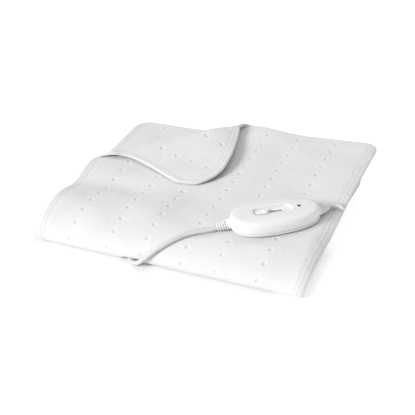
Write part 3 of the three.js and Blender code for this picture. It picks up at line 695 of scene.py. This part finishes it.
columns = HEM_STEPS[:-1] + np.linspace(15.6, 50.4, 14)[:-1].tolist()
for start, end, count in ((50.4, 105.5, 20), (105.5, 152.7, 17), (152.7, 207.8, 20), (207.8, 255, 17),
                          (255, 310, 20), (310, 353.4, 16)):
    columns += np.linspace(start, end, count + 1)[:-1].tolist()
columns += [WIDTH - d for d in reversed(HEM_STEPS)]
ACROSS = np.array(columns)


def nose_row(turn):
    """A row round the big front fold. Turn goes from 0 at its top to 1 at its front."""
    angle = math.pi / 2 * turn
    y = 74 - 71 * math.sin(angle)
    level = 10.8 + (TOP - 10.8) * math.cos(angle)
    x = ACROSS / WIDTH * (WIDTH - 5 * turn ** 3)
    point = settle(x, np.full_like(x, y), level, 0.3 * smooth((y - 20) / 54))
    slack = 0.55 * np.sin(x / 17 + 0.9) + 0.45 * np.sin(x / 9.3 + 2.1 + 2 * turn)
    inward = droop(x, y) + slack * math.sin(math.pi * turn) * (1 - under_body(x, y))
    point[:, 1] += math.sin(angle) * inward
    point[:, 2] -= math.cos(angle) * inward
    return point


def top_row(y):
    x, places = rounded(ACROSS, np.full_like(ACROSS, y), DEPTH, 18.0, 21.0, WIDTH)
    return top_layer(x, places)


# Rows are spaced so that the weld dots fall on them: dense marks give the length along the cloth.
probe = int(np.argmin(np.abs(ACROSS - 300)))
order = np.concatenate([-(1 - np.linspace(0, 1, 120)[:-1]), np.linspace(0, DEPTH - 74, 200)])
probe_line = np.array([(nose_row(-m) if m < 0 else top_row(74 + m))[probe] for m in order])
gone = np.concatenate([[0.0], np.cumsum(np.linalg.norm(np.diff(probe_line, axis=0), axis=1))])
DOT_STEP = 22.44 / 8
steps = np.arange(4.2 - DOT_STEP, gone[-1] - 15.6, DOT_STEP)
row_marks = np.interp(steps, gone, order)

rows, lengths, hems = [], [], []


def add(points, length, hem):
    rows.append(points)
    lengths.append(length)
    hems.append(hem)


side_hem = np.minimum(ACROSS, WIDTH - ACROSS)
for inset in HEM_STEPS:
    add(top_row(DEPTH - inset), gone[-1] - inset, np.minimum(side_hem, inset))
for mark, length in zip(row_marks[::-1], steps[::-1]):
    if mark < 0:
        add(nose_row(-mark), length, side_hem)
    elif 74 + mark <= DEPTH - 16.5:
        add(top_row(74 + mark), length, side_hem)
visible_rows = len(rows)

run_length = float(steps[0])


def add_run(points, hem=None):
    global run_length
    run_length -= float(np.linalg.norm(points[probe] - rows[-1][probe]))
    add(points, run_length, side_hem if hem is None else hem)


for step in range(0, 7):
    under = step / 6
    angle = math.pi / 2 * under
    y = 3 + 8.8 * (1 - math.cos(angle))
    level = 10.8 - 8.8 * math.sin(angle)
    share = clamp01(1 - 6 * height_share(level))
    x = blend(5 * under, blend(364, 357, under), ACROSS / WIDTH)
    point = settle(x, np.full_like(x, y), level, share)
    point[:, 1] += math.cos(angle) * (1 - under) * droop(x, y)
    if step == 0 and np.abs(point - rows[-1]).max() < 1.2:
        continue
    add_run(point)


def layer_right(layer, y):
    right = EDGES[layer][1]
    return blend(357, right, smooth((y - 12) / 110)) if layer == LAYERS else right


def layer_row(layer, y, level=None, edges=None):
    left, right = edges or (EDGES[layer][0], layer_right(layer, y))
    level = BASE + (LAYERS - layer) * PITCH if level is None else level
    x = blend(left, right, ACROSS / WIDTH)
    return settle(x, np.full_like(x, y), level, lift_share(level))


y = 26.0
for layer in range(LAYERS, 2, -1):
    to = FRONT_FOLDS[layer - 1] if layer % 2 else BACK_FOLDS[layer - 1]
    forward = to < y
    for place in np.linspace(y, to + (6 if forward else -6), 11):
        add_run(layer_row(layer, place))
    for step in range(7):
        angle = math.pi * step / 6
        share = step / 6
        place = to + (1 if forward else -1) * PITCH / 2 * (1 - math.sin(angle))
        level = BASE + (LAYERS - layer) * PITCH + PITCH / 2 * (1 - math.cos(angle))
        edges = (blend(EDGES[layer][0], EDGES[layer - 1][0], share),
                 blend(layer_right(layer, place), EDGES[layer - 1][1], share))
        add_run(layer_row(layer, place, level, edges))
    y = to + (6 if forward else -6)
SECOND_END = 318.0


def second_row(y):
    flat = blend(EDGES[2][0], EDGES[2][1], ACROSS / WIDTH)
    x, places = rounded(flat, np.full_like(flat, y), SECOND_END, 24.0, 24.0, EDGES[2][1])
    level = BASE + (LAYERS - 2) * PITCH
    return settle(x, places, level, lift_share(level))


for y in np.concatenate([np.linspace(68, 150, 8)[:-1], np.linspace(150, SECOND_END - 16.5, 36)]):
    add_run(second_row(y))
for inset in reversed(HEM_STEPS):
    add_run(second_row(SECOND_END - inset), np.minimum(side_hem, inset))

cloth = np.array(rows)
length = np.array(lengths)
hem = np.array(hems)
row_count, column_count = hem.shape

# Thickness: a rounded cut edge, a doubled hem with two stitched grooves, then the plain cloth.
hem_thick = [0, 2.1, 3.2, 4.0, 4.4, 4.5, 4.3, 4.05, 4.3, 4.4, 4.25, 3.75, 3.65, 3.8, 4.0, 4.0]
thickness = np.interp(hem, HEM_STEPS, hem_thick)
across_all = np.broadcast_to(ACROSS, hem.shape)
along_all = np.broadcast_to(length[:, None], hem.shape)
offset = across_all - 50.4
near = np.minimum(np.abs((offset + 51.15) % 102.3 - 51.15), np.abs((offset - 55.1 + 51.15) % 102.3 - 51.15))
far_along = np.abs((along_all - 4.2 + 11.22) % 22.44 - 11.22)
dimple = 0.8 * bell(np.hypot(near, far_along) / 3.2)
dimple[visible_rows:] = 0
thickness = thickness - dimple * np.clip((hem - 5) / 3, 0, 1)

along_step = np.gradient(cloth, axis=0)
across_step = np.gradient(cloth, axis=1)
normal = np.cross(across_step, along_step)
normal /= np.maximum(np.linalg.norm(normal, axis=2), 1e-9)[..., None]
# The top layer's rows run from the back to the front, so this points down out of the top face.
outer = cloth - normal * thickness[..., None] / 2
inner = cloth + normal * thickness[..., None] / 2
outer[..., 2] = np.maximum(outer[..., 2], 0.0)

index_outer = np.arange(row_count * column_count).reshape(row_count, column_count)
index_inner = index_outer + row_count * column_count
edge = np.zeros(hem.shape, bool)
edge[0], edge[-1], edge[:, 0], edge[:, -1] = True, True, True, True
index_inner = np.where(edge, index_outer, index_inner)
used = np.concatenate([np.ones(row_count * column_count, bool), ~edge.ravel()])
renumber = np.cumsum(used) - 1
quads = []
for index, flip in ((index_outer, True), (index_inner, False)):
    corners = [index[:-1, :-1], index[:-1, 1:], index[1:, 1:], index[1:, :-1]]
    if flip:
        corners = corners[::-1]
    quads.append(renumber[np.stack([c.ravel() for c in corners], axis=1)])
points = np.concatenate([outer.reshape(-1, 3), inner.reshape(-1, 3)])[used]
cut = np.stack([across_all, along_all, hem], axis=-1).reshape(-1, 3)
cut = np.concatenate([cut, cut])[used] * MM
pad_cloth = make_piece("pad_cloth_visual", from_pad(points), np.concatenate(quads), FLEECE)
mark_layer = pad_cloth.data.attributes.new("cut_place", "FLOAT_VECTOR", "POINT")
mark_layer.data.foreach_set("vector", cut.astype(np.float32).ravel())
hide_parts("pad_cloth")


# Controller

RING = 128
turn_angle = np.linspace(0, 2 * math.pi, RING, endpoint=False)
SPOKES = turn_angle - 0.36 * np.sin(2 * turn_angle)  # closer together at the long ends


def by_spoke(outline, middle_x):
    """A convex outline as one point on each spoke from (middle_x, 0)."""
    bearing = np.unwrap(np.arctan2(outline[:, 1], outline[:, 0] - middle_x))
    reach = np.hypot(outline[:, 0] - middle_x, outline[:, 1])
    first = bearing[0]
    bearing, reach = bearing - first, reach
    wanted = (SPOKES - first) % (2 * math.pi)
    r = np.interp(wanted, np.append(bearing, bearing[0] + 2 * math.pi), np.append(reach, reach[0]))
    return np.stack([middle_x + r * np.cos(SPOKES), r * np.sin(SPOKES)], axis=1)


def body_outline(inset, middle_x):
    a = np.linspace(0, 2 * math.pi, 1440, endpoint=False)
    c, s = np.cos(a), np.sin(a)
    reach = 58 - inset + np.where(c < 0, -8, 8)
    x = -8 + reach * np.sign(c) * np.abs(c) ** np.where(c < 0, 0.78, 0.95)
    y = (HALF_WIDTH - inset) * np.sign(s) * np.abs(s) ** 0.9
    return by_spoke(np.stack([x, y], axis=1), middle_x)


def oval(length, width, x, middle_x):
    """Two half circles joined by straight sides."""
    r, straight = width / 2, (length - width) / 2
    a = np.linspace(-math.pi / 2, math.pi / 2, 240)
    right = np.stack([x + straight + r * np.cos(a), r * np.sin(a)], axis=1)
    top = np.stack([np.linspace(x + straight, x - straight, 400), np.full(400, r)], axis=1)
    half = np.vstack([right, top[1:-1]])
    return by_spoke(np.vstack([half, [2 * x, 0] - half]), middle_x)


def at_height(outline, z):
    return np.column_stack([outline, np.full(len(outline), z) if np.isscalar(z) else z])


def body_piece(name, rings, finish, body="pad", cyclic=False):
    points, faces = loft([from_body(r) for r in rings], cyclic=cyclic)
    return make_piece(name, points, faces, finish, body)


HUB = -4.5
CROWN = 21.0


def crown(outline):
    """The top's height: a very shallow dome."""
    away = np.hypot(outline[:, 0] / 58, outline[:, 1] / HALF_WIDTH)
    return CROWN + 0.15 - 0.9 * away ** 4


floor = CROWN - 2.4  # of the recess
top_rings = []
for grow, z in ((0, floor - 2.3), (0, floor - 0.5), (0.5, floor - 0.1), (1.2, floor)):
    top_rings.append(at_height(oval(29.0 + grow, 3.8 + grow, -4.5, HUB), z))
for grow, rise in ((-6.2, 0), (-4.8, 0.05), (-3.6, 0.3), (-2.5, 0.9), (-1.5, 1.6), (-0.6, 2.15), (0.4, 2.45),
                   (1.8, 2.56)):
    top_rings.append(at_height(oval(51 + grow, 18 + grow, -3.5, HUB), floor + rise))
rim = oval(53.4, 20.4, -3.5, HUB)
inner_top = body_outline(8.6, HUB)
for share in (0.0, 0.35, 0.7, 1.0):
    ring = blend(rim, inner_top, share)
    top_rings.append(at_height(ring, blend(floor + 2.6, crown(ring), smooth(share * 1.4))))
for inset, drop in ((6.2, 0.50), (4.2, 0.80), (2.9, 1.25), (1.9, 1.9), (1.15, 2.8), (0.65, 3.9), (0.35, 5.2),
                    (0.15, 7.2), (0.05, 9.5), (0, 12.3), (0, 14.9), (0.2, 15.3), (0.5, 15.45)):
    top_rings.append(at_height(body_outline(inset, HUB), CROWN - drop))
for inset, z in ((1.8, 5.7), (2.0, 6.2), (2.4, 12.5), (4.2, 15.2), (8.0, 16.1), (13.5, 16.3)):
    top_rings.append(at_height(body_outline(inset, HUB), z))
controller_top = body_piece("controller_top_visual", top_rings, SHELL, cyclic=True)
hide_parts("controller_top")

bottom_rings = [at_height(body_outline(inset, HUB), z) for inset, z in (
    (9.5, 0.0), (5.0, 0.02), (3.5, 0.2), (2.4, 0.6), (1.5, 1.2), (0.8, 2.0), (0.35, 3.0), (0.08, 4.2),
    (0, 4.8), (0.15, 5.05), (0.45, 5.2), (1.7, 5.2), (2.0, 5.0), (2.6, 3.8), (3.8, 2.8), (7.0, 2.0))]
controller_bottom = body_piece("controller_bottom_visual", bottom_rings, SHELL)
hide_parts("controller_bottom")

# The slider: a thumb pad with a round grip at its right end, and under the slot its cover plate.
GRIP = -12.3
knob_rings = []
for grow, rise in ((-1.0, 0.35), (-0.2, 0.45), (0, 0.8), (0, 1.4), (-0.35, 1.75), (-1.0, 1.98), (-1.9, 2.05)):
    knob_rings.append(at_height(oval(18 + grow, 10.5 + grow, -16.5, GRIP), floor + rise))
for size, rise in ((8.2, 2.05), (7.9, 2.2), (7.7, 3.1), (7.4, 3.55), (6.7, 3.8), (5.4, 3.82), (4.2, 3.6),
                   (2.0, 3.45)):
    knob_rings.append(at_height(oval(size + 0.1, size, GRIP, GRIP), floor + rise))
slider = body_piece("slider_visual", knob_rings, SHELL, "slider")
plate_rings = [at_height(oval(55 + grow, 6.4 + grow, -16.5, -16.5), z)
               for grow, z in ((-0.6, 14.7), (0, 14.9), (0, 15.6), (-0.6, 15.8))]
plate = body_piece("slider_cover_plate", plate_rings, PLATE, "slider")
neck_rings = [at_height(oval(3.0, 2.8, -16.5, -16.5), z) for z in (15.7, 16.5, 18.0, 19.1)]
neck = body_piece("slider_neck", neck_rings, SHELL, "slider")
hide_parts("slider_knob")

# The signal lamp: a small dark dome in a fine rim.
lamp_rings = []
for radius, z in ((2.4, 17.2), (2.4, 20.9), (2.38, 21.25), (2.1, 21.42), (1.5, 21.56), (0.7, 21.63)):
    lamp_rings.append(np.stack([31 + radius * np.cos(turn_angle[::4]), radius * np.sin(turn_angle[::4]),
                                np.full(RING // 4, z)], axis=1))
lamp = body_piece("signal_lamp_visual", lamp_rings, LENS)
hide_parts("signal_lamp")


# Floor and light

floor_mesh = bpy.data.meshes.new("floor")
FLOOR_REACH, FLOOR_Z = 6, -0.0004
floor_corners = [(x * FLOOR_REACH, y * FLOOR_REACH, FLOOR_Z) for x, y in ((-1, -1), (1, -1), (1, 1), (-1, 1))]
floor_mesh.from_pydata(floor_corners, [], [(0, 1, 2, 3)])
floor_finish = Finish("studio_floor", 0.8, Specular_IOR_Level=0.2, Emission_Strength=0.5)
across, away = (floor_finish.node("ShaderNodeSeparateXYZ", None, {"Vector": floor_finish.places()}, output=i)
                for i in range(2))
# The floor glows with painted light at the right and at the back, which washes out the shadows falling there;
# at the front-left it hardly glows, so the contact shadow stays.
painted_glow = across.between(0.13, 0.20).maths("MAXIMUM", away.between(-0.13, 0.0))
floor_finish.set("Emission Color", floor_finish.shades(painted_glow, grey(0.04), grey(1.0)))
floor_finish.set("Base Color", floor_finish.shades(floor_finish.noise(3, 2.0, 0.5), grey(0.93), grey(0.95)))
floor_mesh.materials.append(floor_finish.material)
studio_floor = bpy.data.objects.new("floor", floor_mesh)
bpy.context.collection.objects.link(studio_floor)

world = bpy.data.worlds.new("studio")
bpy.context.scene.world = world
world.use_nodes = True
world.node_tree.nodes["Background"].inputs["Color"].default_value = (1, 1, 1, 1)
world.node_tree.nodes["Background"].inputs["Strength"].default_value = 0.47


def soft_light(name, place, aim, size, power):
    lamp_data = bpy.data.lights.new(name, "AREA")
    lamp_data.shape = "RECTANGLE"
    lamp_data.size, lamp_data.size_y = size
    lamp_data.energy = power
    light = bpy.data.objects.new(name, lamp_data)
    light.location = place
    light.rotation_mode = "QUATERNION"
    light.rotation_quaternion = (Vector(aim) - Vector(place)).to_track_quat("-Z", "Y")
    bpy.context.collection.objects.link(light)


soft_light("key", (-2.3, -3.5, 2.1), (0, 0, 0.02), (1.8, 1.4), 193)
soft_light("top", (0.2, 0.9, 2.2), (0, 0, 0), (1.8, 1.8), 14)
bpy.context.scene.view_settings.view_transform = "Standard"
